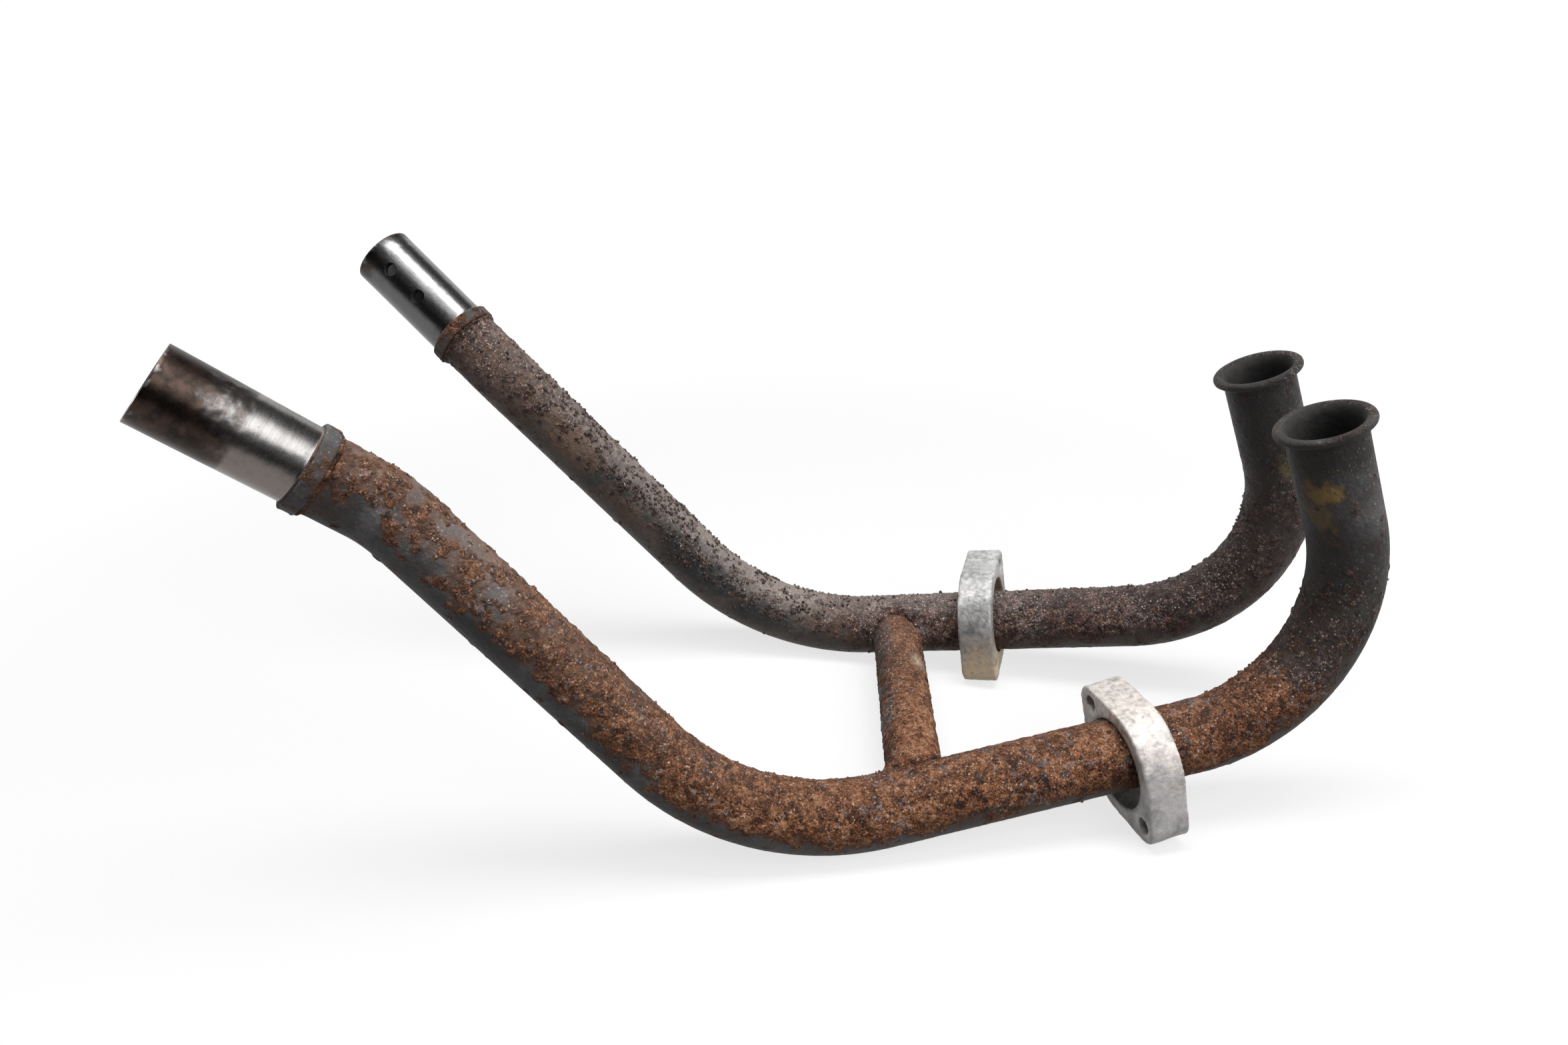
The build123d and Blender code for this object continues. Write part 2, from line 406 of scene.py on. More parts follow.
def grainMaterial(name, look):
    material, tree, shader = newMaterial(name)
    where = objectPlace(tree)
    tone = fade(tree, speckle(tree, where, 420, 5, 0.7), 0.32, 0.68)
    tree.links.new(ramp(tree, tone, look["tones"]), shader.inputs["Base Color"])
    shader.inputs["Roughness"].default_value = look["rough"]
    shader.inputs["Specular IOR Level"].default_value = 0.4
    reliefInto(tree, shader, speckle(tree, where, 1500, 4, 0.6), 0.5, 0.0006)
    return material


sootyBore = sootMaterial()
nearGrain = grainMaterial("scaleGrainNear", {
    "tones": [(0.1, (0.020, 0.009, 0.007)), (0.5, (0.085, 0.036, 0.022)), (0.9, (0.240, 0.110, 0.060))],
    "rough": 0.55,
})
farGrain = grainMaterial("scaleGrainFar", {
    "tones": [(0.1, (0.010, 0.007, 0.006)), (0.55, (0.034, 0.021, 0.017)), (0.95, (0.130, 0.085, 0.066))],
    "rough": 0.38,
})
print("pipe materials ready")


# Header pipes

pipeShape = {
    # corners of the right pipe's middle line from the muffler end to the port, in mm
    "corners": [
        (-279.462, -136.800, 270.683),
        (-200.871, -106.000, 198.555),
        (-38.870, -112.800, 10.337),
        (305.573, -45.500, 59.972),
        (247.539, -45.500, 217.303),
    ],
    "bends": [69.0, 131.0, 88.0],
    "radius": 19.3,
    "stubRadius": 19.05,
    "stubEnd": 67.9,
    "bore": 17.45,
    "segments": 100,
    "step": 1.14,
    "boreStep": 6.0,
    "edge": 0.35,
    # the lip's outline: distance from its top, and radius
    "lip": [
        (-6.4, 19.3), (-5.6, 19.33), (-5.0, 19.5), (-4.5, 19.9), (-4.2, 20.45), (-4.05, 21.35), (-4.0, 22.35),
        (-3.75, 23.25), (-3.2, 23.85), (-2.5, 24.1), (-1.7, 24.1), (-1.0, 23.9), (-0.45, 23.45), (-0.1, 22.75),
        (0.0, 21.85), (0.0, 20.8), (-0.15, 20.05), (-0.6, 19.4), (-1.4, 18.8), (-2.6, 18.2), (-4.2, 17.7),
        (-6.4, 17.45),
    ],
    # the stub's end face, from the bore outwards
    "mouth": [(0.35, 17.45), (0.0, 17.75), (0.0, 18.75), (0.35, 19.3)],
    "holeRadius": 4.25,
    "holesAt": [17.5, 41.5],
    "holeFacing": (-0.0317, 0.9312, 0.3631),
    "holeMiddle": 18.4,
    "holeReach": 10.0,
    "wallMiddle": 18.3,  # tells the outer rim of a hole from the one in the bore
    "burrThick": 0.9,
    "burrTo": 12.8,
    "slackOfFlange": 5.1,
    "leanOfFlange": 1.1,
    "grainRoom": 2.2,
    "ringsToLipTop": 17,
    "layRadius": 19.0,
}


def pipeMoves(corners, radii):
    moves = []
    place = corners[0]
    for index, radius in enumerate(radii, 1):
        inward = (corners[index] - corners[index - 1]).normalized()
        onward = (corners[index + 1] - corners[index]).normalized()
        turn = inward.angle(onward)
        start = corners[index] - inward * (radius * math.tan(turn / 2))
        moves.append({"dir": inward, "length": (start - place).length})
        side = (onward - inward * onward.dot(inward)).normalized()
        moves.append({
            "centre": start + side * radius, "axis": inward.cross(onward).normalized(),
            "turn": turn, "length": radius * turn,
        })
        place = corners[index] + onward * (radius * math.tan(turn / 2))
    moves.append({"dir": (corners[-1] - corners[-2]).normalized(), "length": (corners[-1] - place).length})
    return moves


def carried(placed, move):
    # where a ring comes to after a move
    if "turn" not in move:
        return Matrix.Translation(move["dir"] * move["length"]) @ placed
    there, back = Matrix.Translation(move["centre"]), Matrix.Translation(-move["centre"])
    return there @ Matrix.Rotation(move["turn"], 4, move["axis"]) @ back @ placed


def addTo(whole, bm):
    part = bpy.data.meshes.new("section")
    bm.to_mesh(part)
    bm.free()
    whole.from_mesh(part)
    bpy.data.meshes.remove(part)


def profileRings(whole, placed, direction, profile, segments):
    bm = bmesh.new()
    bmesh.ops.create_circle(bm, segments=segments, radius=profile[0][1], matrix=placed)
    loop = bm.verts[:] + bm.edges[:]
    for (atOld, wideOld), (atNew, wideNew) in zip(profile, profile[1:]):
        loop = growProfile(bm, loop, direction, atNew - atOld, wideNew / wideOld)
    addTo(whole, bm)


def pipeShell(name, corners):
    # rings of the coat, the bore, the lip and the stub's end face, in that order
    shape = pipeShape
    segments = shape["segments"]
    moves = pipeMoves(corners, shape["bends"])
    first, last = moves[0], moves[-1]
    length = sum(move["length"] for move in moves)
    first["length"] -= shape["edge"]
    last["length"] += shape["lip"][0][0]
    facing = first["dir"].to_track_quat("Z", "Y").to_matrix().to_4x4()
    start = Matrix.Translation(corners[0] + first["dir"] * shape["edge"]) @ facing
    whole = bmesh.new()
    along, kind = [], []
    for layer, radius in (("coat", shape["radius"]), ("bore", shape["bore"])):
        placed, at = start, shape["edge"]
        for move in moves:
            stride = shape["step"] if layer == "coat" or move is first else shape["boreStep"]
            steps = max(3, round(move["length"] / stride))
            bm = bmesh.new()
            bmesh.ops.create_circle(bm, segments=segments, radius=radius, matrix=placed)
            growAlong(bm, bm.verts[:] + bm.edges[:], move, steps)
            addTo(whole, bm)
            along += [at + move["length"] * k / steps for k in range(steps + 1)]
            kind += [layer] * (steps + 1)
            placed = carried(placed, move)
            at += move["length"]
    profileRings(whole, placed, last["dir"], shape["lip"], segments)
    along += [length + at for at, wide in shape["lip"]]
    kind += ["lip"] * len(shape["lip"])
    profileRings(whole, start, first["dir"], shape["mouth"], segments)
    along += [at for at, wide in shape["mouth"]]
    kind += ["mouth"] * len(shape["mouth"])
    bmesh.ops.scale(whole, vec=(mm, mm, mm), verts=whole.verts)
    mesh = bpy.data.meshes.new(name)
    whole.to_mesh(mesh)
    whole.free()
    return mesh, np.array(along), np.array(kind), length


def raiseBlisters(co, allow, spec, lumpy, rng):
    # raised rust spots, placed where allow is high; returns their height and how near each point is to a crest
    flat = co.reshape(-1, 3)
    tree = kdtree.KDTree(len(flat))
    for index, p in enumerate(flat.tolist()):
        tree.insert(p, index)
    tree.balance()
    height, crest = np.zeros(len(flat)), np.zeros(len(flat))
    odds = allow.ravel() / allow.sum()
    for index in rng.choice(len(flat), spec["count"], p=odds):
        wide = rng.uniform(*spec["radius"]) * mm
        tall = wide * rng.uniform(*spec["steep"])
        dip = rng.uniform(*spec["dip"])
        found = tree.find_range(flat[index], wide * 1.25)
        near = np.array([f[1] for f in found])
        away = np.array([f[2] for f in found]) / wide * (1 + 0.32 * lumpy[near])
        dome = np.clip(1 - away**2, 0, 1) ** spec["swell"]
        rise = tall * dome * (1 - dip * np.exp(-((away / 0.35) ** 2)))
        height[near] = np.maximum(height[near], rise)
        crest[near] = np.maximum(crest[near], dome)
    return height.reshape(allow.shape), crest.reshape(allow.shape)


def closeStub(mesh, corners, facing):
    # joins the sections and cuts two round holes through the inboard wall of the stub
    shape = pipeShape
    axis = (corners[1] - corners[0]).normalized()
    start = corners[0] * mm
    side = axis.cross(facing).normalized()
    radius, wallMiddle = shape["holeRadius"] * mm, shape["wallMiddle"] * mm
    bm = bmesh.new()
    bm.from_mesh(mesh)
    bmesh.ops.remove_doubles(bm, verts=bm.verts, dist=0.00003)
    for place in shape["holesAt"]:
        def flatPlace(co):
            offset = co - start
            return offset.dot(axis) - place * mm, offset.dot(side), offset.dot(facing)
        doomed = []
        middle = start + axis * (place * mm) + facing * (shape["holeMiddle"] * mm)
        for face in bm.faces:
            spotted = face.verts[0].co
            if (spotted - middle).length > shape["holeReach"] * mm:
                continue
            u, w, out = flatPlace(face.calc_center_median())
            if out > 0 and u * u + w * w < radius * radius:
                doomed.append(face)
        gone = set(doomed)
        rim = {v for f in doomed for v in f.verts if any(g not in gone for g in v.link_faces)}
        bmesh.ops.delete(bm, geom=doomed, context="FACES")
        outerRim, boreRim = [], []
        for v in rim:
            u, w, out = flatPlace(v.co)
            wide = math.hypot(out, w)
            (outerRim if wide > wallMiddle else boreRim).append(v)
            fit = (radius if wide > wallMiddle else radius + shape["burrThick"] * mm) / math.hypot(u, w)
            u, w = u * fit, w * fit
            out = math.sqrt(max(wide * wide - w * w, 0.0))
            v.co = start + axis * (u + place * mm) + side * w + facing * out
        outerEdges, boreEdges = [
            [e for e in {e for v in loop for e in v.link_edges} if e.is_boundary]
            for loop in (outerRim, boreRim)
        ]
        for e in outerEdges:
            e.smooth = False
        # the drift left a burr on the inside of the wall
        made = bmesh.ops.extrude_edge_only(bm, edges=outerEdges)["geom"]
        for v in made:
            if isinstance(v, bmesh.types.BMVert):
                v.co -= facing * (v.co - start).dot(facing)
                v.co += facing * (shape["burrTo"] * mm)
        for face in made:
            if isinstance(face, bmesh.types.BMFace):
                face.material_index = 2
        burrEdges = [e for e in made if isinstance(e, bmesh.types.BMEdge) and e.is_boundary]
        for face in bmesh.ops.bridge_loops(bm, edges=burrEdges + boreEdges)["faces"]:
            face.material_index = 2
    bmesh.ops.recalc_face_normals(bm, faces=bm.faces)
    bm.to_mesh(mesh)
    bm.free()


def aimedMarks(marks, along, radial, lumps):
    # soft spots at given places along the pipe, on the side turned to a direction
    made = np.zeros(along.shape)
    for place, long, across, turnedTo, strength in marks:
        aim = np.array(turnedTo) / np.linalg.norm(turnedTo)
        aimed = (radial * aim).sum(axis=2)
        mark = np.exp(-(((along - place) / long) ** 2)) * smoothStep(aimed, 1 - across, 1.0)
        made = np.maximum(made, strength * smoothStep(mark + 0.45 * lumps, 0.15, 0.75) * (mark > 0.02))
    return made


def grainTemplate(seed):
    bm = bmesh.new()
    bmesh.ops.create_uvsphere(bm, u_segments=7, v_segments=6, radius=1.0)
    for v in bm.verts:
        v.co *= 1 + 0.75 * noise.noise(v.co * 1.6 + Vector((seed, 0, 0)))
    whole = bm.verts[:] + bm.edges[:] + bm.faces[:]
    cut = bmesh.ops.bisect_plane(
        bm, geom=whole, plane_co=(0, 0, -0.12), plane_no=(0, 0, -1), clear_outer=True
    )
    bmesh.ops.edgeloop_fill(bm, edges=edgesOf(cut["geom_cut"]))
    return linked("grain%d" % seed, closeUp(bm, "grain"))


def scatterTree(grains):
    # copies of the grains on the points of a mesh, turned and sized by its attributes
    tree = bpy.data.node_groups.new("scatter", "GeometryNodeTree")
    tree.interface.new_socket("Geometry", in_out="INPUT", socket_type="NodeSocketGeometry")
    tree.interface.new_socket("Geometry", in_out="OUTPUT", socket_type="NodeSocketGeometry")
    points = addNode(tree, "NodeGroupInput").outputs[0]
    joined = addNode(tree, "GeometryNodeGeometryToInstance")
    for grain in grains:
        info = addNode(tree, "GeometryNodeObjectInfo", {"Object": grain})
        tree.links.new(info.outputs["Geometry"], joined.inputs[0])
    turn = addNode(tree, "GeometryNodeInputNamedAttribute", {"Name": "turn"}, data_type="FLOAT_VECTOR")
    size = addNode(tree, "GeometryNodeInputNamedAttribute", {"Name": "size"}, data_type="FLOAT_VECTOR")
    placed = addNode(tree, "GeometryNodeInstanceOnPoints", {
        "Points": points, "Instance": joined.outputs[0], "Pick Instance": True,
        "Rotation": turn.outputs[0], "Scale": size.outputs[0],
    })
    solid = addNode(tree, "GeometryNodeRealizeInstances", {0: placed.outputs[0]})
    addNode(tree, "NodeGroupOutput", {0: solid.outputs[0]})
    return tree


def scatterGrains(name, co, outward, odds, look, rng):
    count, (small, large) = look["count"], look["size"]
    picked = rng.choice(len(odds), count, replace=False, p=odds / odds.sum())
    wide = (small + (large - small) * rng.uniform(0, 1, count) ** 1.8) * mm
    flat = rng.uniform(*look["flat"], count)
    size = np.stack([wide, wide * rng.uniform(0.75, 1.2, count), wide * flat], axis=1)
    turn = []
    for index, spin in zip(picked, rng.uniform(0, 2 * math.pi, count)):
        facing = Vector(outward[index]).to_track_quat("Z", "Y").to_matrix()
        turn.append(tuple((facing @ Matrix.Rotation(spin, 3, "Z")).to_euler()))
    points = bpy.data.meshes.new("points")
    points.vertices.add(count)
    setPoints(points, co[picked] - outward[picked] * (0.05 * size[:, 2:]))
    setVectors(points, "turn", turn)
    setVectors(points, "size", size)
    holder = linked("holder", points)
    grains = [grainTemplate(seed) for seed in (1, 2, 3)]
    holder.modifiers.new("scatter", "NODES").node_group = scatterTree(grains)
    graph = bpy.context.evaluated_depsgraph_get()
    mesh = bpy.data.meshes.new_from_object(holder.evaluated_get(graph))
    for used in [holder] + grains:
        bpy.data.objects.remove(used)
    mesh.materials.clear()
    for field in [a.name for a in mesh.attributes if a.name in ("turn", "size")]:
        mesh.attributes.remove(mesh.attributes[field])
    newPiece(name, mesh, [look["material"]], "header", "pipe_steel")


def dressedPipe(side, look):
    flip = 1 if side == "right" else -1
    corners = [Vector((x, y * flip, z)) for x, y, z in pipeShape["corners"]]
    mesh, ringAlong, ringKind, length = pipeShell(side + "_pipe", corners)
    count = pipeShape["segments"]
    co = meshPoints(mesh).reshape(-1, count, 3)
    radial = co - co.mean(axis=1, keepdims=True)
    wide = np.linalg.norm(radial, axis=2)
    radial /= wide[..., None]
    up = radial[..., 2] / np.abs(radial[..., 2]).max(axis=1, keepdims=True)
    along = np.repeat(ringAlong[:, None], count, axis=1)
    kind = np.repeat(ringKind[:, None], count, axis=1)
    rng = np.random.RandomState(look["seed"])
    lipped = smoothStep(along, length - 9, length - 6)
    coat = ((kind == "coat") | (kind == "lip")) & (along > pipeShape["stubEnd"])
    bare = ((kind == "coat") | (kind == "mouth")) & (along < pipeShape["stubEnd"]) & (wide > 0.019)
    print(side, "pipe grown:", len(ringAlong), "rings")

    patch = noiseAt(co, 16 * mm, 3, look["seed"])
    lump = noiseAt(co, 5 * mm, 3, look["seed"] + 9.0)
    grit = noiseAt(co, 2.2 * mm, 2, look["seed"] + 21.0)

    # rust lies on the upper side, down to a line that wanders along the pipe
    line = zone(along, look["rustLine"])
    upper = smoothStep(up + 0.22 * patch + 0.12 * lump, line - 0.28, line + 0.28)
    amount = zone(along, look["rustLow"]) * (1 - upper) + zone(along, look["rustTop"]) * upper
    loose = 0.20 + 2.6 * amount * (1 - amount)
    rust = np.clip(amount + 0.42 * (patch * 0.8 + lump * 0.5) * loose, 0, 1) * coat

    spots = zone(along, look["spots"]) * (0.04 + 0.96 * smoothStep(up, line - 0.35, line + 0.35))
    spots = spots * smoothStep(patch + 0.5 * lump, *look["spotClusters"]) * coat * (1 - lipped) + 1e-9 * coat
    height, crest = raiseBlisters(co, spots, look["blisters"], lump.ravel(), rng)
    seeds = zone(along, look["specks"]) * (0.05 + 0.95 * upper) * coat * (1 - lipped) + 1e-9 * coat
    small, smallCrest = raiseBlisters(co, seeds, look["smallBlisters"], grit.ravel(), rng)
    height, crest = np.maximum(height, small), np.maximum(crest, smallCrest)
    crust = rust * (0.20 + 0.38 * lump + 0.36 * grit) * zone(along, look["crust"]) * mm
    lift = (crust + height) * coat * (1 - 0.75 * lipped)

    # the loose flange keeps the length it slides on scraped
    slide = coat & (along > look["slideFrom"]) & (along < look["slideTo"])
    leaning = pipeShape["leanOfFlange"] * np.sqrt(np.clip(1 - up**2, 0, 1))
    room = 0.05 + pipeShape["slackOfFlange"] * (1 - look["bearsOn"] * up) - leaning
    room = np.clip(room, 0.05, None) * mm
    lift[slide] = np.minimum(lift[slide], room[slide])
    rust = np.maximum(rust, smoothStep(crest, 0.05, 0.55) * look["crestRust"] * coat)

    # dents and nicks of the bare stub
    dentFacing = np.array(look["dentFacing"]) / np.linalg.norm(look["dentFacing"])
    toward = (radial * dentFacing).sum(axis=2)
    dented = np.exp(-(((along - look["dentAt"]) / look["dentLong"]) ** 2))
    dented = dented * smoothStep(toward, 0.55, 0.95) * bare
    ridge = 1 - np.abs(noiseAt(co, 7.5 * mm, 3, 3.7)) * 3.2
    lift += dented * np.clip(ridge, -1, 1) * look["dentDeep"] * mm
    lift[bare] += (pipeShape["stubRadius"] - pipeShape["radius"] + 0.05 * lump[bare] + 0.03 * grit[bare]) * mm
    chip = np.exp(-along / 1.2) * smoothStep(lump + 0.4 * patch, 0.30, 0.70) * 0.5 * bare
    oxide = zone(along + 0.6 * patch, look["oxide"]) + 0.12 * lump - 0.45 * dented
    # a dull film on the side turned away from the given direction, mostly the stub's lower side: partly oxide
    # film, partly painted shade that dims its reflection
    film = smoothStep(-(radial * np.array(look["filmAndShadeAway"])).sum(axis=2) + 0.10 * patch, -0.10, 0.40) * bare
    settled = co + radial * lift[..., None]
    setPoints(mesh, settled)

    # loose grains of scale, not on the underside and not where the flange passes close by
    upward = 0.10 + 0.90 * smoothStep(up + 0.3 * patch, *look["grainFrom"])
    clustered = 0.08 + smoothStep(patch + 0.6 * lump, *look["grainClusters"])
    odds = zone(along, look["grainAlong"]) * upward * clustered * coat * (1 - lipped)
    odds = odds * (~slide | (room > pipeShape["grainRoom"] * mm)) * (kind == "coat") * (up > -0.75)
    name = side + "_pipe_scale_grains"
    scatterGrains(name, settled.reshape(-1, 3), radial.reshape(-1, 3), odds.ravel(), look["grains"], rng)

    ochre = aimedMarks(look["ochre"], along, radial, lump)
    darkPatch = aimedMarks(look["darkPatches"], along, radial, patch) * coat
    tan = aimedMarks(look["tans"], along, radial, patch) * coat
    scrape = aimedMarks(look["scrapes"], along, radial, grit)
    fields = {
        "rust": rust, "crest": crest, "oxide": np.clip(oxide, 0, 1), "chip": chip, "ochre": ochre,
        "scrape": scrape, "film": film, "darkPatch": darkPatch, "tan": tan,
        # the next field says how far a point faces up; it puts more of the painted glints on the upper side
        "top": smoothStep(up + 0.25 * patch, -0.3, 0.9),
        # the next field lightens the upward side: partly settled dirt, partly painted sheen from the top light
        "dustAndSheen": zone(along, look["dustAndSheen"]) * smoothStep(up + 0.25 * patch, 0.35, 1.0),
        "warm": np.clip(zone(along, look["warm"]) + 0.25 * patch, 0, 1),
        "soot": np.clip(zone(along, look["soot"]) + 0.22 * patch, 0, 1), "heat": zone(along, look["heat"]),
    }
    shown = coat | bare
    for field, values in fields.items():
        setField(mesh, field, np.where(shown, values, 0.0))
    axis = np.array((corners[1] - corners[0]).normalized())
    across = np.cross(axis, (0.0, 0.0, 1.0))
    across /= np.linalg.norm(across)
    third = np.cross(axis, across)
    wideLay = pipeShape["layRadius"] * mm
    lay = [along * mm, (radial * across).sum(2) * wideLay, (radial * third).sum(2) * wideLay]
    setVectors(mesh, "lay", np.stack(lay, axis=2))

    # material by ring: coat, bare steel or soot
    corner = np.zeros(len(mesh.loops), int)
    mesh.loops.foreach_get("vertex_index", corner)
    ring = (corner.reshape(-1, 4) // count).max(axis=1)
    lipTop = np.flatnonzero(ringKind == "lip")[0] + pipeShape["ringsToLipTop"]
    inMouth = (ringKind == "lip") & (np.arange(len(ringKind)) > lipTop)
    onStub = (ringKind == "coat") & (ringAlong < pipeShape["stubEnd"])
    slot = np.where((ringKind == "mouth") | onStub, 1, 0)
    slot[(ringKind == "bore") | inMouth] = 2
    mesh.polygons.foreach_set("material_index", slot[ring].astype(np.int32))
    hole = Vector(pipeShape["holeFacing"])
    hole.y *= flip
    closeStub(mesh, corners, hole)
    name = side + "_header_pipe"
    newPiece(name + "_worn", mesh, look["materials"], "header", "pipe_steel", name)


dressedPipe("right", {
    "seed": 11, "materials": [nearCoat, nearSteel, sootyBore],
    "dustAndSheen": [(76, 0.3), (200, 0.40), (300, 0.30), (450, 0.15), (600, 0.20), (680, 0.1), (720, 0.0)],
    "rustLine": [
        (76, 0.10), (110, 0.16), (160, 0.06), (220, 0.04), (285, 0.02), (350, -0.02), (430, -0.08),
        (480, -0.22), (600, -0.30), (680, -0.25), (720, 0.0),
    ],
    "rustTop": [
        (76, 0.60), (86, 0.36), (100, 0.20), (150, 0.22), (190, 0.36), (230, 0.56), (285, 0.78),
        (350, 0.92), (430, 1.0), (560, 0.98), (600, 0.92), (650, 0.72), (690, 0.38), (725, 0.16),
        (750, 0.10), (790, 0.05), (808, 0.2),
    ],
    "rustLow": [
        (76, 0.25), (100, 0.05), (200, 0.04), (285, 0.08), (350, 0.10), (430, 0.14), (560, 0.22),
        (640, 0.26), (700, 0.20), (750, 0.06), (808, 0.15),
    ],
    "spots": [
        (76, 0.3), (95, 0.8), (115, 1.0), (200, 1.0), (260, 0.4), (300, 0.2), (420, 0.25), (560, 0.3),
        (640, 0.2), (700, 0.1), (740, 0.0),
    ],
    "spotClusters": (-0.25, 0.30),
    "specks": [
        (76, 0.2), (200, 0.4), (300, 0.8), (420, 1.0), (590, 1.0), (690, 0.7), (740, 0.1), (800, 0.0),
    ],
    "blisters": {"count": 540, "radius": (1.6, 3.0), "steep": (0.24, 0.38), "dip": (0.0, 0.25), "swell": 1.2},
    "smallBlisters": {
        "count": 2200, "radius": (1.2, 2.0), "steep": (0.16, 0.30), "dip": (0.0, 0.4), "swell": 1.0,
    },
    "grains": {"count": 700, "size": (0.45, 1.05), "flat": (0.6, 1.0), "material": nearGrain},
    "grainAlong": [
        (78, 0.1), (120, 0.3), (220, 0.5), (290, 0.8), (420, 1.0), (600, 1.0), (680, 0.6), (720, 0.0),
    ],
    "grainFrom": (-0.5, 0.4), "grainClusters": (-0.3, 0.4),
    "crust": [(76, 0.6), (200, 0.8), (300, 1.0), (600, 1.1), (700, 0.7), (740, 0.3), (808, 0.4)],
    "crestRust": 0.95, "slideFrom": 455, "slideTo": 605, "bearsOn": 1,
    "warm": [
        (76, 0.52), (130, 0.50), (200, 0.56), (285, 0.64), (380, 0.70), (430, 0.64), (480, 0.59),
        (560, 0.56), (640, 0.56), (665, 0.30), (690, 0.08), (740, 0.05),
    ],
    "soot": [
        (76, 0.0), (250, 0.05), (380, 0.20), (440, 0.40), (560, 0.6), (640, 0.7), (690, 0.9), (740, 0.85),
        (762, 0.35), (782, 0.6), (790, 1.0), (802, 1.0), (808, 0.8),
    ],
    "heat": [(690, 0.0), (735, 0.4), (760, 1.0), (782, 0.7), (790, 0.0)],
    "ochre": [(776, 8, 0.40, (-0.72, -0.66, 0.25), 0.9), (764, 10, 0.15, (-0.75, -0.6, 0.0), 0.4)],
    "darkPatches": [
        (90, 14, 0.7, (0.2, -0.9, -0.3), 0.6), (185, 22, 0.5, (-0.3, -0.8, -0.5), 0.7),
        (250, 40, 0.5, (-0.3, -0.7, -0.7), 0.7), (330, 30, 0.4, (-0.3, -0.7, -0.7), 0.5),
    ],
    "tans": [
        (95, 22, 0.35, (0.5, 0.2, 0.85), 0.9), (160, 40, 0.25, (0.5, 0.2, 0.85), 0.7),
        (240, 60, 0.45, (0.4, 0.0, 0.9), 0.8),
    ],
    "scrapes": [(268, 4, 0.05, (0.35, -0.45, 0.8), 0.95), (285, 3, 0.03, (0.0, -0.75, 0.6), 0.8)],
    "oxide": [(0, 1.0), (26, 1.0), (34, 0.80), (38.5, 0.62), (40, 0.14), (60, 0.10), (66, 0.25)],
    "dentAt": 28, "dentLong": 9, "dentFacing": (0.45, -0.55, 0.75), "dentDeep": 0.40,
    "filmAndShadeAway": (0.464, 0.512, 0.723),
})
dressedPipe("left", {
    "seed": 29, "materials": [farCoat, farSteel, sootyBore],
    "dustAndSheen": [
        (76, 0.2), (140, 0.65), (300, 0.85), (400, 0.85), (450, 0.85), (480, 0.8), (530, 0.35),
        (700, 0.15), (760, 0.1), (790, 0.0),
    ],
    "rustLine": [(76, -0.3), (130, 0.0), (200, 0.2), (380, 0.2), (430, -0.2), (600, -0.1), (760, -0.2)],
    "rustTop": [
        (76, 0.80), (95, 0.60), (125, 0.42), (170, 0.24), (220, 0.10), (370, 0.16), (410, 0.60),
        (440, 0.86), (490, 0.90), (520, 0.78), (640, 0.68), (720, 0.58), (748, 0.40), (778, 0.12),
        (808, 0.25),
    ],
    "rustLow": [
        (76, 0.70), (120, 0.36), (150, 0.06), (390, 0.10), (450, 0.40), (600, 0.30), (720, 0.42),
        (760, 0.2), (808, 0.2),
    ],
    "spots": [
        (76, 0.15), (100, 0.8), (125, 1.0), (200, 0.9), (300, 0.9), (400, 0.7), (480, 0.8), (600, 0.8),
        (720, 0.5), (760, 0.0),
    ],
    "spotClusters": (-0.35, 0.25),
    "specks": [(76, 0.6), (150, 0.8), (400, 0.8), (600, 1.0), (740, 0.9), (775, 0.0)],
    "blisters": {"count": 320, "radius": (1.5, 2.5), "steep": (0.25, 0.45), "dip": (0.1, 0.7), "swell": 0.9},
    "smallBlisters": {
        "count": 1000, "radius": (1.2, 1.8), "steep": (0.28, 0.50), "dip": (0.0, 0.5), "swell": 0.8,
    },
    "grains": {"count": 2000, "size": (0.5, 1.30), "flat": (0.7, 1.15), "material": farGrain},
    "grainAlong": [
        (78, 0.2), (110, 0.5), (160, 1.0), (340, 1.0), (400, 0.5), (470, 0.2), (640, 0.2), (740, 0.15),
        (775, 0.0),
    ],
    "grainFrom": (-0.6, 0.5), "grainClusters": (-0.15, 0.45),
    "crust": [(76, 0.6), (130, 0.7), (400, 0.8), (600, 1.0), (740, 1.0), (775, 0.3), (808, 0.4)],
    "crestRust": 0.9, "slideFrom": 455, "slideTo": 605, "bearsOn": -1,
    "warm": [
        (76, 0.48), (110, 0.46), (150, 0.44), (300, 0.42), (420, 0.60), (470, 0.56), (520, 0.44),
        (640, 0.38), (760, 0.3),
    ],
    "soot": [
        (76, 0.1), (200, 0.10), (380, 0.10), (470, 0.3), (600, 0.5), (700, 0.8), (760, 0.9), (808, 1.0),
    ],
    "heat": [(700, 0.0), (735, 0.6), (765, 0.5), (780, 0.0)],
    "ochre": [(750, 8, 0.25, (0.2, -0.97, 0.1), 0.6), (728, 7, 0.12, (0.9, -0.4, 0.1), 0.5)],
    "darkPatches": [
        (195, 26, 0.30, (0.5, -0.8, 0.1), 0.6), (285, 46, 0.45, (0.35, -0.9, 0.15), 0.95),
        (350, 30, 0.35, (0.2, -0.9, 0.0), 0.7),
    ],
    "tans": [
        (92, 20, 0.9, (0.5, -0.5, 0.6), 0.6), (120, 22, 0.6, (0.7, -0.2, 0.6), 0.7),
        (165, 26, 0.5, (0.0, -0.9, 0.3), 0.6), (225, 30, 0.3, (-0.3, -0.9, 0.0), 0.4),
    ],
    "scrapes": [], "oxide": [(0, 0.95), (5, 0.70), (12, 0.30), (22, 0.08), (60, 0.05), (68, 0.3)],
    "dentAt": 8, "dentLong": 5, "dentFacing": (0.45, -0.35, 0.8), "dentDeep": 0.12,
    "filmAndShadeAway": (0.70, 0.388, 0.598),
})


# Crossover tube, its welds, and the collars

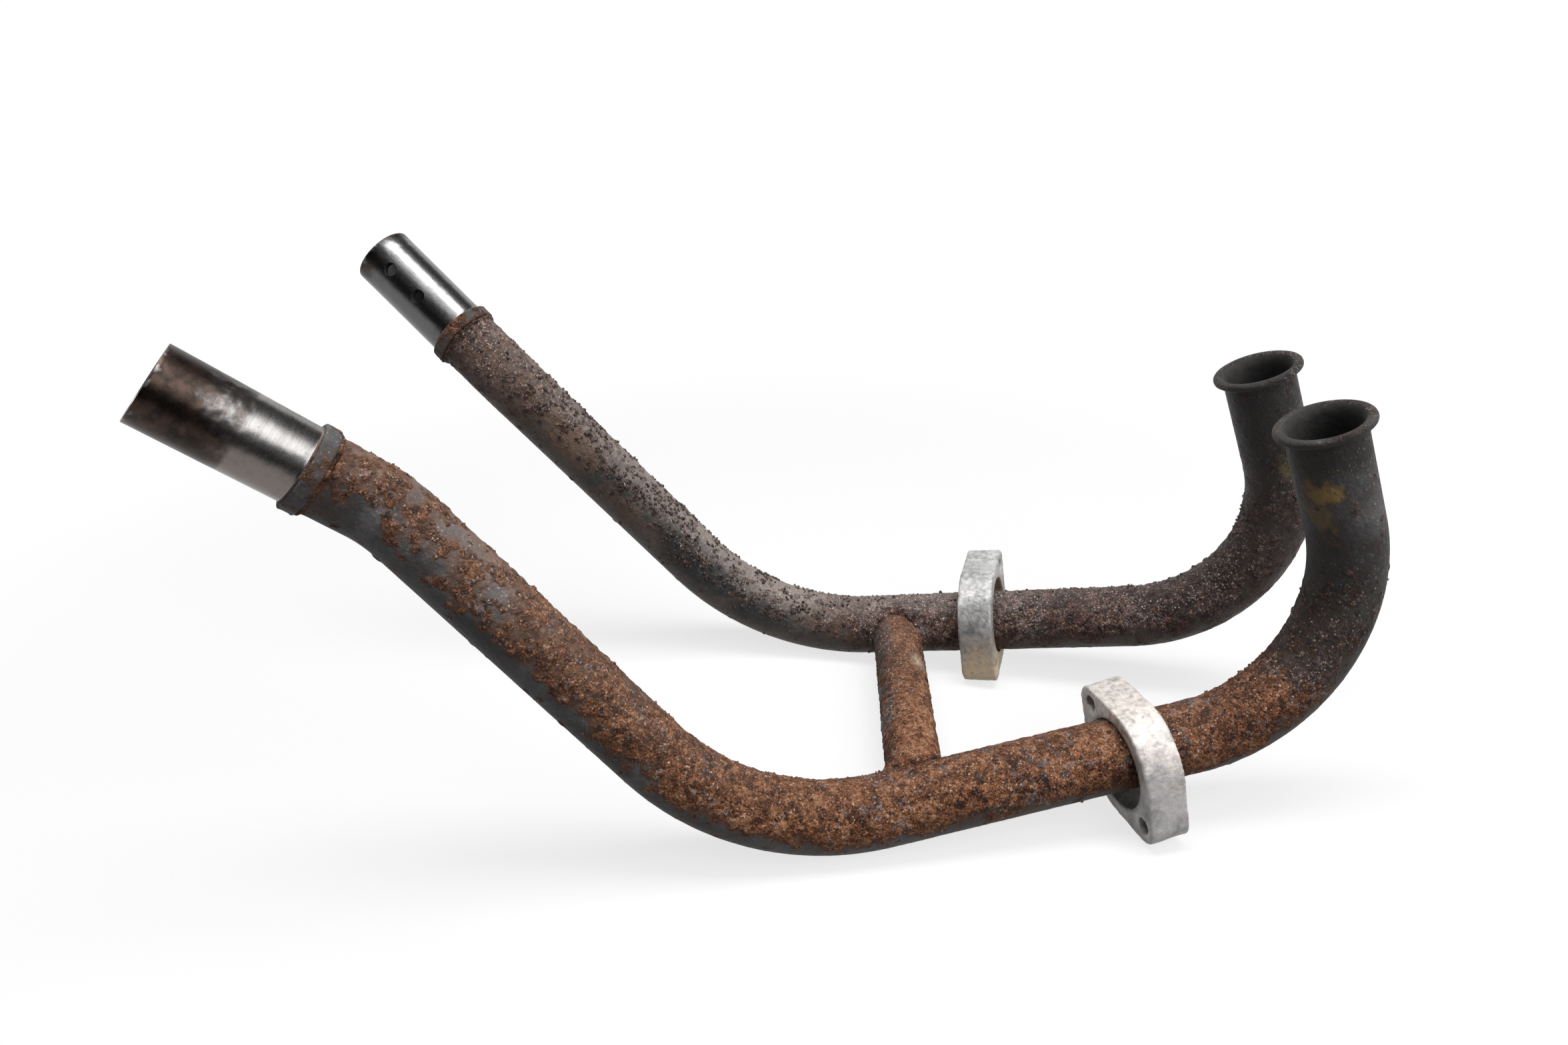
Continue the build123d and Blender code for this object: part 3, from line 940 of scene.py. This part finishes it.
crossoverShape = {
    "x": 50.21, "z": 23.173, "radius": 15.5, "bore": 13.9, "segments": 84, "step": 1.2, "boreStep": 12.0,
    "half": 78.0, "endOnRun": 18.9, "beadRadius": 2.9, "beadOut": 0.9, "beadOnRun": 20.1,
    "runFrom": (-38.870, -112.800, 10.337), "runDir": (0.971771, 0.189873, 0.140034),
}


def saddleAt(x, z, radius):
    # y of the point at this x and z that lies on the right run's surface, on its inboard side
    start, run = np.array(crossoverShape["runFrom"]), np.array(crossoverShape["runDir"])
    free = np.array((0.0, 1.0, 0.0)) - run[1] * run
    flat = np.stack([x - start[0], np.zeros(len(x)) - start[1], z - start[2]], axis=1)
    flat = flat - np.outer(flat @ run, run)
    a, b, c = free @ free, 2 * flat @ free, (flat * flat).sum(axis=1) - radius**2
    return (-b + np.sqrt(b * b - 4 * a * c)) / (2 * a)


def dressSmall(mesh, look):
    # rust and blisters on a small piece, moved along its normals
    co = meshPoints(mesh)
    normals = np.zeros(len(co) * 3)
    mesh.vertex_normals.foreach_get("vector", normals)
    normals = normals.reshape(-1, 3)
    seed = look["seed"]
    rng = np.random.RandomState(seed)
    patch, lump = noiseAt(co, 14 * mm, 3, seed), noiseAt(co, 4.5 * mm, 3, seed + 5.0)
    grit = noiseAt(co, 2.0 * mm, 2, seed + 13.0)
    rust = np.clip(look["rust"] + look.get("wander", 0.4) * (patch + 0.7 * lump), 0, 1)
    height, crest = raiseBlisters(co, 0.2 + np.clip(patch + lump, 0, 1), look["blisters"], grit, rng)
    lift = height + rust * (0.30 * lump + 0.24 * grit) * look["crust"] * mm
    setPoints(mesh, co + normals * lift[:, None])
    fields = {
        "rust": np.maximum(rust, 0.9 * crest), "crest": crest,
        "warm": np.clip(look["warm"] + 0.25 * patch, 0, 1),
        "soot": np.clip(look["soot"] + 0.25 * patch, 0, 1),
        # the next field says how far a point faces up; it puts more of the painted glints on the upper side
        "top": smoothStep(normals[:, 2], -0.3, 0.9),
        # the next field lightens the upward side: partly settled dirt, partly painted sheen from the top light
        "dustAndSheen": look.get("dustAndSheen", 0.0) * smoothStep(normals[:, 2], 0.2, 1.0),
        "scrape": look.get("scrape", 0 * rust),
    }
    for field, values in fields.items():
        setField(mesh, field, values)


def crossover():
    shape = crossoverShape
    middle = Vector((shape["x"], 0, shape["z"]))
    whole = bmesh.new()
    facing = Vector((0, 1, 0)).to_track_quat("Z", "Y").to_matrix().to_4x4()
    half = shape["half"]
    ends = []
    for radius, stride in ((shape["radius"], shape["step"]), (shape["bore"], shape["boreStep"])):
        known = set(whole.verts)
        bmesh.ops.create_circle(
            whole, segments=shape["segments"], radius=radius,
            matrix=Matrix.Translation(middle - Vector((0, half, 0))) @ facing,
        )
        ring = [v for v in whole.verts if v not in known]
        loop = ring + [e for e in whole.edges if e.verts[0] in ring and e.verts[1] in ring]
        last = growAlong(whole, loop, {"dir": Vector((0, 1, 0)), "length": 2 * half}, round(2 * half / stride))
        ends.append((edgesOf(loop), edgesOf(last)))
    for outerEnd, innerEnd in zip(*ends):
        bmesh.ops.bridge_loops(whole, edges=outerEnd + innerEnd)
    mesh = closeUp(whole, "crossover")
    co = meshPoints(mesh)
    saddle = saddleAt(co[:, 0], co[:, 2], shape["endOnRun"])
    co[:, 1] *= -saddle / half
    setPoints(mesh, co * mm)
    co = meshPoints(mesh) / mm
    upper = smoothStep((co[:, 2] - shape["z"]) / 15.5, -0.9, 0.1)
    mark = np.exp(-(((co[:, 1] - 26) / 6) ** 2) - ((co[:, 0] - 60) / 4) ** 2) * (co[:, 2] > shape["z"])
    # painted shade: the half of the tube facing -X gets duller, darker rust
    paintedShadeSide = smoothStep(shape["x"] - co[:, 0], 2, 13)
    dressSmall(mesh, {
        "seed": 41, "rust": 0.62 + 0.36 * upper, "wander": 0.25, "soot": 0.3, "crust": 1.0, "scrape": mark,
        "warm": 0.72 - 0.0024 * co[:, 1] - 0.40 * paintedShadeSide,
        "dustAndSheen": np.clip(0.25 + 0.003 * co[:, 1], 0.1, 0.5),
        "blisters": {"count": 900, "radius": (1.1, 2.2), "steep": (0.2, 0.42), "dip": (0.0, 0.5), "swell": 0.8},
    })
    newPiece("crossover_tube_worn", mesh, [nearCoat], "header", "crossover_steel", "crossover_tube")


def crossoverBead(side, look):
    # a bead spun round the crossover and laid into the corner with the run
    shape = crossoverShape
    flip = 1 if side == "right" else -1
    bm = bmesh.new()
    centre = Vector((shape["x"], 0, shape["z"]))
    around = shape["radius"] + shape["beadOut"]
    turned = Matrix.Translation(centre + Vector((around, 0, 0)))
    bmesh.ops.create_circle(bm, segments=16, radius=shape["beadRadius"], matrix=turned)
    # the section stands in the XY plane, across the crossover's axis
    bmesh.ops.spin(
        bm, geom=bm.verts[:] + bm.edges[:], cent=centre, axis=(0, 1, 0), angle=2 * math.pi, steps=150,
        use_merge=True,
    )
    mesh = closeUp(bm, side + "_bead")
    co = meshPoints(mesh)
    angle = np.arctan2(co[:, 2] - shape["z"], co[:, 0] - shape["x"])
    ringX = shape["x"] + around * np.cos(angle)
    ringZ = shape["z"] + around * np.sin(angle)
    co[:, 1] += saddleAt(ringX, ringZ, shape["beadOnRun"])
    co[:, 1] *= flip
    setPoints(mesh, co * mm)
    bm = bmesh.new()
    bm.from_mesh(mesh)
    bmesh.ops.recalc_face_normals(bm, faces=bm.faces)
    bm.to_mesh(mesh)
    bm.free()
    dressSmall(mesh, look)
    name = side + "_crossover_weld"
    newPiece(name + "_worn", mesh, look["materials"], "header", "weld_steel", name)


collarShape = {
    "at": 68.7, "segments": 150,
    # outlines: distance from the collar's stub side, and radius
    "collar": [
        (0.0, 19.25), (0.0, 20.2), (0.05, 20.9), (0.3, 21.4), (0.8, 21.6), (2.0, 21.62), (3.2, 21.6),
        (4.4, 21.6), (5.6, 21.62), (6.7, 21.6), (7.2, 21.4), (7.45, 20.9), (7.5, 20.2), (7.5, 19.25),
    ],
    "bead": [
        (7.4, 19.2), (7.4, 20.0), (7.7, 20.45), (8.15, 20.50), (8.65, 20.25), (9.1, 19.85), (9.4, 19.5),
        (9.5, 19.2),
    ],
}


def ringOnStub(side, outline, look, slotName, node):
    flip = 1 if side == "right" else -1
    ends = [Vector((x, y * flip, z)) for x, y, z in pipeShape["corners"][:2]]
    direction = (ends[1] - ends[0]).normalized()
    facing = direction.to_track_quat("Z", "Y").to_matrix().to_4x4()
    start = Matrix.Translation(ends[0] + direction * (collarShape["at"] + outline[0][0])) @ facing
    whole = bmesh.new()
    profileRings(whole, start, direction, outline, collarShape["segments"])
    bmesh.ops.bridge_loops(whole, edges=[e for e in whole.edges if e.is_boundary])
    bmesh.ops.scale(whole, vec=(mm, mm, mm), verts=whole.verts)
    mesh = closeUp(whole, side + slotName)
    dressSmall(mesh, look)
    newPiece(side + "_" + node + "_worn", mesh, look["materials"], "header", slotName, side + "_" + node)


crossover()
smallGrit = {"count": 60, "radius": (0.9, 1.6), "steep": (0.2, 0.4), "dip": (0.0, 0.4), "swell": 0.8}
beadGrit = {"count": 160, "radius": (1.0, 2.0), "steep": (0.25, 0.5), "dip": (0.0, 0.3), "swell": 0.8}
crossoverBead("right", {
    "seed": 43, "materials": [nearCoat], "rust": 1.0, "warm": 0.6, "soot": 0.2, "crust": 2.0,
    "blisters": beadGrit,
})
crossoverBead("left", {
    "seed": 44, "materials": [farCoat], "rust": 0.95, "warm": 0.55, "soot": 0.3, "crust": 2.0,
    "blisters": beadGrit,
})
ringOnStub("right", collarShape["collar"], {
    "seed": 45, "materials": [nearCoat], "rust": 0.10, "wander": 0.35, "warm": 0.40, "soot": 0.25, "crust": 0.4,
    "blisters": smallGrit,
}, "collar_steel", "muffler_collar")
ringOnStub("left", collarShape["collar"], {
    "seed": 46, "materials": [nearCoat], "rust": 0.30, "wander": 0.5, "warm": 0.36, "soot": 0.4, "crust": 0.4,
    "blisters": smallGrit,
}, "collar_steel", "muffler_collar")
ringOnStub("right", collarShape["bead"], {
    "seed": 47, "materials": [nearCoat], "rust": 0.9, "warm": 0.6, "soot": 0.1, "crust": 1.6,
    "blisters": smallGrit,
}, "weld_steel", "collar_weld")
ringOnStub("left", collarShape["bead"], {
    "seed": 48, "materials": [farCoat], "rust": 0.9, "warm": 0.5, "soot": 0.1, "crust": 1.6,
    "blisters": smallGrit,
}, "weld_steel", "collar_weld")


# Cast flanges

def castMaterial(name, look):
    material, tree, shader = newMaterial(name)
    where = objectPlace(tree)
    fine, mid = speckle(tree, where, 1100, 4, 0.65), speckle(tree, where, 300, 5, 0.65)
    broad = speckle(tree, where, 60, 5, 0.65)
    color = mixColor(tree, fade(tree, broad, 0.32, 0.66), look["greyDark"], look["greyLight"])
    color = mixColor(tree, fade(tree, mid, 0.34, 0.82, 0.0, 0.55), color, look["greyPale"])
    blots = fade(tree, plus(tree, mid, times(tree, broad, 0.5)), 0.50, 0.72, 0.26, 0.0)
    color = mixColor(tree, blots, color, look["blot"])
    crusted = times(tree, spot(tree, "deposit"), fade(tree, mid, 0.30, 0.66, 0.15, 1.0), True)
    color = mixColor(tree, crusted, color, look["deposit"])
    # a lighter ring round each bolt hole: bare machined metal, partly a painted highlight on its rim
    seatAndRimHighlightAmount = times(tree, spot(tree, "seatAndRimHighlight"), fade(tree, mid, 0.2, 0.6, 0.4, 0.9))
    color = mixColor(tree, seatAndRimHighlightAmount, color, look["seatAndRimHighlight"])
    dirty = times(tree, spot(tree, "grime"), fade(tree, mid, 0.25, 0.55), True)
    color = mixColor(tree, dirty, color, look["grime"])
    pits = fade(tree, fine, 0.68, 0.76, 0.0, 0.55)
    color = mixColor(tree, pits, color, look["pit"])
    tree.links.new(color, shader.inputs["Base Color"])
    shader.inputs["Metallic"].default_value = 0.35
    shader.inputs["Roughness"].default_value = 0.52
    height = plus(tree, times(tree, fine, 0.5), mid)
    reliefInto(tree, shader, height, 0.45, 0.0010)
    return material


flangeShape = {
    # in mm: size of the remeshed faces, where the bore ends, how far out the bolts are,
    # the bands of the machined ring round a bolt hole, and how far the end faces are from the middle
    "voxel": 0.75, "boreEnds": (25.5, 27.5), "boltOut": 34.5, "seatFrom": (4.3, 5.0), "seatTo": (7.2, 6.2),
    "faceFrom": 9.5,
}


def castFlange(side, look):
    shape = {name: np.array(value) * mm for name, value in flangeShape.items()}
    node = side + "_port_flange"
    bm = bmesh.new()
    bm.from_mesh(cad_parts[node].data)
    bmesh.ops.remove_doubles(bm, verts=bm.verts, dist=0.000002)
    rough = linked("rough", closeUp(bm, "rough"))
    even = rough.modifiers.new("even", "REMESH")
    even.mode = "VOXEL"
    even.voxel_size = shape["voxel"]
    graph = bpy.context.evaluated_depsgraph_get()
    mesh = bpy.data.meshes.new_from_object(rough.evaluated_get(graph))
    bpy.data.objects.remove(rough)
    mesh.materials.clear()
    bm = bmesh.new()
    bm.from_mesh(mesh)
    for turn in range(2):
        bmesh.ops.smooth_vert(bm, verts=bm.verts, factor=0.3, use_axis_x=True, use_axis_y=True, use_axis_z=True)
    bm.to_mesh(mesh)
    bm.free()
    co = meshPoints(mesh)
    normals = np.zeros(len(co) * 3)
    mesh.vertex_normals.foreach_get("vector", normals)
    normals = normals.reshape(-1, 3)
    offset = co - np.array(look["centre"]) * mm
    axis = np.array(look["axis"])
    wide = np.linalg.norm(offset - np.outer(offset @ axis, axis), axis=1)
    outside = smoothStep(wide, *shape["boreEnds"])
    lump, grit = noiseAt(co, 9 * mm, 3, look["seed"]), noiseAt(co, 3 * mm, 2, look["seed"] + 4.0)
    setPoints(mesh, co + normals * (outside * (0.28 * lump + 0.14 * grit) * mm)[:, None])
    high = offset[:, 2] / mm
    patch = noiseAt(co, 12 * mm, 3, look["seed"] + 8.0)
    deposit, grime = zone(high, look["deposit"]), zone(high, look["grime"])
    setField(mesh, "deposit", np.clip(deposit + 0.5 * patch, 0, 1) * (deposit > 0.01))
    grime = np.clip(grime + 0.4 * patch, 0, 1) * (grime > 0.01)
    setField(mesh, "grime", np.maximum(grime, 0.75 * (1 - outside)))
    # the ring round each bolt hole on the end faces: machined metal, partly a painted highlight on the rim
    seatAndRimHighlight = 0 * high
    for end in (-1, 1):
        across = offset - end * shape["boltOut"] * np.array(look["lug"])
        across = np.linalg.norm(across - np.outer(across @ axis, axis), axis=1)
        seatAndRimHighlight = np.maximum(seatAndRimHighlight, smoothStep(across, *shape["seatFrom"]) * smoothStep(across, *shape["seatTo"]))
    setField(mesh, "seatAndRimHighlight", seatAndRimHighlight * (np.abs(offset @ axis) > shape["faceFrom"]))
    newPiece(node + "_worn", mesh, [look["material"]], side + "_flange", "flange_alloy", node)


nearAlloy = castMaterial("castAlloyNear", {
    "greyDark": (0.25, 0.24, 0.238, 1), "greyLight": (0.47, 0.45, 0.445, 1), "greyPale": (0.66, 0.64, 0.635, 1),
    "blot": (0.15, 0.14, 0.135, 1), "deposit": (0.80, 0.72, 0.65, 1), "grime": (0.10, 0.085, 0.065, 1),
    "pit": (0.06, 0.055, 0.05, 1), "seatAndRimHighlight": (0.62, 0.60, 0.58, 1),
})
farAlloy = castMaterial("castAlloyFar", {
    "greyDark": (0.17, 0.17, 0.17, 1), "greyLight": (0.36, 0.36, 0.36, 1), "greyPale": (0.60, 0.60, 0.60, 1),
    "blot": (0.10, 0.10, 0.10, 1), "deposit": (0.74, 0.73, 0.72, 1), "grime": (0.58, 0.44, 0.28, 1),
    "pit": (0.05, 0.05, 0.045, 1), "seatAndRimHighlight": (0.62, 0.61, 0.60, 1),
})
castFlange("right", {
    "seed": 51, "material": nearAlloy, "centre": (167.873, -72.547, 34.976),
    "axis": (0.951694, 0.274721, 0.137141), "lug": (-0.29815, 0.72015, 0.62651),
    "deposit": [(-4, 0.0), (10, 0.2), (20, 0.55), (34, 0.95)], "grime": [(-34, 0.2), (-24, 0.0)],
})
castFlange("left", {
    "seed": 57, "material": farAlloy, "centre": (107.626, 84.034, 36.600),
    "axis": (0.951694, -0.274721, 0.137141), "lug": (0.08885, 0.67395, 0.73342),
    "deposit": [(0, 0.0), (14, 0.3), (30, 0.6)], "grime": [(-34, 1.0), (-18, 0.85), (-6, 0.40), (4, 0.0)],
})


# Camera and light

viewPoint = {
    "place": (0.00098, -0.56758, 0.40036),
    "forward": (-0.03568, 0.91026, -0.41250),
    "right": (0.99935, 0.03011, -0.01999),
    "lens": 25.2675,
}


def setCamera():
    data = bpy.data.cameras.new("photoCamera")
    data.sensor_fit = "HORIZONTAL"
    data.sensor_width = 36.0
    data.lens = viewPoint["lens"]
    data.clip_start = 0.01
    camera = linked("photoCamera", data)
    back = -Vector(viewPoint["forward"]).normalized()
    right = Vector(viewPoint["right"])
    right = (right - back * right.dot(back)).normalized()
    up = back.cross(right)
    turn = Matrix((right, up, back)).transposed().to_4x4()
    camera.matrix_world = Matrix.Translation(viewPoint["place"]) @ turn
    bpy.context.scene.camera = camera


studio = {
    "keyFrom": (1.05, -0.95, 1.45), "keySize": (1.6, 1.6), "keyPower": 26.0,
    "topFrom": (0.0, -0.05, 1.9), "topSize": (1.8, 0.6), "topPower": 34.0,
    "worldLevel": 0.08,
    "floorBounce": 0.10,
    # dark cards, seen in the bare metal only: middle, width, height
    "cards": [
        ((-0.02, -0.75, 0.25), 1.00, 0.62), ((-0.92, -0.75, 0.90), 1.70, 1.60),
        ((0.40, 0.65, 1.17), 1.30, 0.85),
    ],
}


def addLamp(name, place, size, power):
    data = bpy.data.lights.new(name, "AREA")
    data.shape = "RECTANGLE"
    data.size, data.size_y = size
    data.energy = power
    lamp = linked(name, data)
    aim = Vector(place) - Vector((0, 0, 0.1))
    lamp.matrix_world = Matrix.Translation(place) @ aim.to_track_quat("Z", "Y").to_matrix().to_4x4()


def seenDirectly(tree):
    light = addNode(tree, "ShaderNodeLightPath")
    seen = calc(tree, "MAXIMUM", light.outputs["Is Camera Ray"], light.outputs["Is Glossy Ray"])
    return calc(tree, "MAXIMUM", seen, light.outputs["Is Transmission Ray"])


def setWorld():
    world = bpy.data.worlds.new("studioWorld")
    bpy.context.scene.world = world
    world.use_nodes = True
    tree = world.node_tree
    level = mixValue(tree, seenDirectly(tree), studio["worldLevel"], 1.0)
    back = tree.nodes["Background"]
    back.inputs["Color"].default_value = (1, 1, 1, 1)
    tree.links.new(level, back.inputs["Strength"])


def flatSheet(name, material, width, height, placed):
    bm = bmesh.new()
    bmesh.ops.create_grid(bm, x_segments=1, y_segments=1, size=0.5)
    bmesh.ops.scale(bm, vec=(width, height, 1), verts=bm.verts)
    bmesh.ops.transform(bm, matrix=placed, verts=bm.verts)
    mesh = bpy.data.meshes.new(name)
    bm.to_mesh(mesh)
    bm.free()
    mesh.materials.append(material)
    sheet = linked(name, mesh)
    return sheet


def setFloor():
    material, tree, shader = newMaterial("paleFloor")
    tree.nodes.remove(shader)
    away = addNode(tree, "ShaderNodeVectorMath", {0: objectPlace(tree)}, operation="LENGTH").outputs["Value"]
    level = fade(tree, away, 0.45, 1.5, 0.74, 1.0)
    bounce = addNode(tree, "ShaderNodeBsdfDiffuse", {"Color": (*(studio["floorBounce"],) * 3, 1)}).outputs[0]
    shade = addNode(tree, "ShaderNodeBsdfDiffuse", {"Color": (0.22, 0.22, 0.22, 1)}).outputs[0]
    glow = addNode(tree, "ShaderNodeEmission", {"Color": (1, 1, 1, 1), "Strength": level}).outputs[0]
    pale = addNode(tree, "ShaderNodeAddShader", {0: shade, 1: glow}).outputs[0]
    seen = addNode(tree, "ShaderNodeMixShader", {0: seenDirectly(tree), 1: bounce, 2: pale}).outputs[0]
    tree.links.new(seen, tree.nodes["Material Output"].inputs["Surface"])
    flatSheet("floor", material, 24.0, 24.0, Matrix.Translation((0, 0, -0.0006)))


def setCards():
    material, tree, shader = newMaterial("darkCard")
    shader.inputs["Base Color"].default_value = (0.04, 0.04, 0.04, 1)
    shader.inputs["Roughness"].default_value = 1.0
    shader.inputs["Specular IOR Level"].default_value = 0.0
    for index, (place, width, height) in enumerate(studio["cards"]):
        aim = Vector((-0.25, 0, 0.25)) - Vector(place)
        placed = Matrix.Translation(place) @ aim.to_track_quat("Z", "Y").to_matrix().to_4x4()
        card = flatSheet("card%d" % index, material, width, height, placed)
        card.visible_camera = False
        card.visible_diffuse = False
        card.visible_transmission = False
        card.visible_shadow = False


setCards()
setCamera()
setWorld()
setFloor()
addLamp("keyLamp", studio["keyFrom"], studio["keySize"], studio["keyPower"])
addLamp("topLamp", studio["topFrom"], studio["topSize"], studio["topPower"])
bpy.context.scene.view_settings.view_transform = "Standard"
print("camera, floor and light set")
